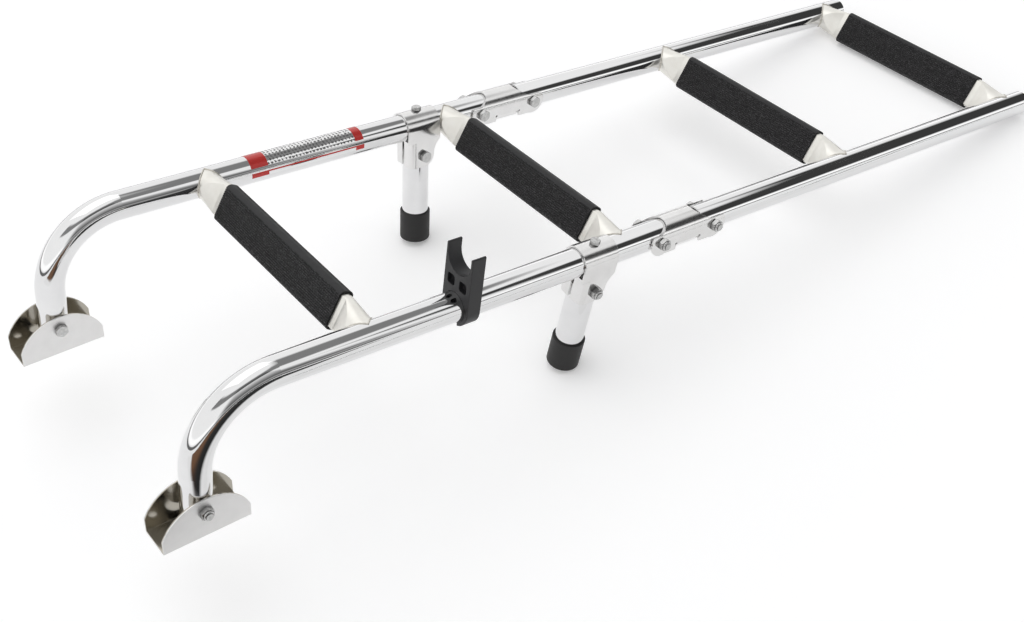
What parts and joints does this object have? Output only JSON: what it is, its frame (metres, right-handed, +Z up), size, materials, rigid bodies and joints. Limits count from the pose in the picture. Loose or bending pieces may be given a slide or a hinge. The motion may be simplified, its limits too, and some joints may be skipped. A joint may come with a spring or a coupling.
{
  "type": "folding boat ladder",
  "caption": "Folding boat ladder of polished tube with padded steps, hinged rails, stand-off legs, pivoting deck brackets and a storage clip.",
  "frame": {"origin": "middle of the bounding box on the floor, under the straight ladder as it stands on its legs", "axes": "+X along the steps to the rail that carries the clip, +Y from the deck brackets to the far ends of the rails, +Z up"},
  "size_m": [0.299, 1.0148, 0.1976],
  "materials": {
    "polished_steel": "mirror polished",
    "satin_steel": "satin",
    "hardware": "bright",
    "rubber": "matt, ribbed",
    "clip_plastic": "matt"
  },
  "bodies": {
    "upper_frame": {"upper_rail_front": "polished_steel", "upper_rail_rear": "polished_steel", "leg_clamp_front": "polished_steel", "leg_clamp_rear": "polished_steel", "clamp_screw_front": "hardware", "clamp_screw_rear": "hardware", "leg_bolt_front": "hardware", "leg_bolt_rear": "hardware", "leg_nut_front": "hardware", "leg_nut_rear": "hardware", "rung_1": "satin_steel", "tread_1": "rubber", "rung_2": "satin_steel", "tread_2": "rubber", "storage_clip": "clip_plastic"},
    "bracket_front_body": {"bracket_front": "polished_steel", "bracket_bolt_front": "hardware", "bracket_nut_front": "hardware"},
    "bracket_rear_body": {"bracket_rear": "polished_steel", "bracket_bolt_rear": "hardware", "bracket_nut_rear": "hardware"},
    "leg_front_body": {"leg_front": "polished_steel", "leg_cap_front": "rubber"},
    "leg_rear_body": {"leg_rear": "polished_steel", "leg_cap_rear": "rubber"},
    "link": {"hinge_link_front": "polished_steel", "hinge_link_rear": "polished_steel", "upper_pivot_bolt_front": "hardware", "upper_pivot_bolt_rear": "hardware", "upper_pivot_nut_front": "hardware", "upper_pivot_nut_rear": "hardware", "lower_pivot_bolt_front": "hardware", "lower_pivot_bolt_rear": "hardware", "lower_pivot_nut_front": "hardware", "lower_pivot_nut_rear": "hardware"},
    "lower_frame": {"lower_rail_front": "polished_steel", "lower_rail_rear": "polished_steel", "rung_3": "satin_steel", "tread_3": "rubber", "rung_4": "satin_steel", "tread_4": "rubber"}
  },
  "joints": [
    {"name": "bracket_front_swing", "type": "hinge", "parent": "upper_frame", "child": "bracket_front_body", "pos_m": [0.1275, -0.4683, 0.09238], "axis": [1, 0, 0], "range_deg": [-84, 80]},
    {"name": "bracket_rear_swing", "type": "hinge", "parent": "upper_frame", "child": "bracket_rear_body", "pos_m": [-0.1275, -0.4683, 0.09238], "axis": [1, 0, 0], "range_deg": [-84, 80]},
    {"name": "leg_front_fold", "type": "hinge", "parent": "upper_frame", "child": "leg_front_body", "pos_m": [0.12463, -0.09208, 0.09326], "axis": [0.9945, -0.0187, -0.1028], "range_deg": [0, 80]},
    {"name": "leg_rear_fold", "type": "hinge", "parent": "upper_frame", "child": "leg_rear_body", "pos_m": [-0.12463, -0.09208, 0.09326], "axis": [0.9945, 0.0187, 0.1028], "range_deg": [0, 80]},
    {"name": "link_fold", "type": "hinge", "parent": "upper_frame", "child": "link", "pos_m": [0, -0.0193, 0.10782], "axis": [1, 0, 0], "range_deg": [0, 72]},
    {"name": "lower_fold", "type": "hinge", "parent": "link", "child": "lower_frame", "pos_m": [0, 0.04269, 0.09656], "axis": [1, 0, 0], "range_deg": [0, 110.5]}
  ]
}
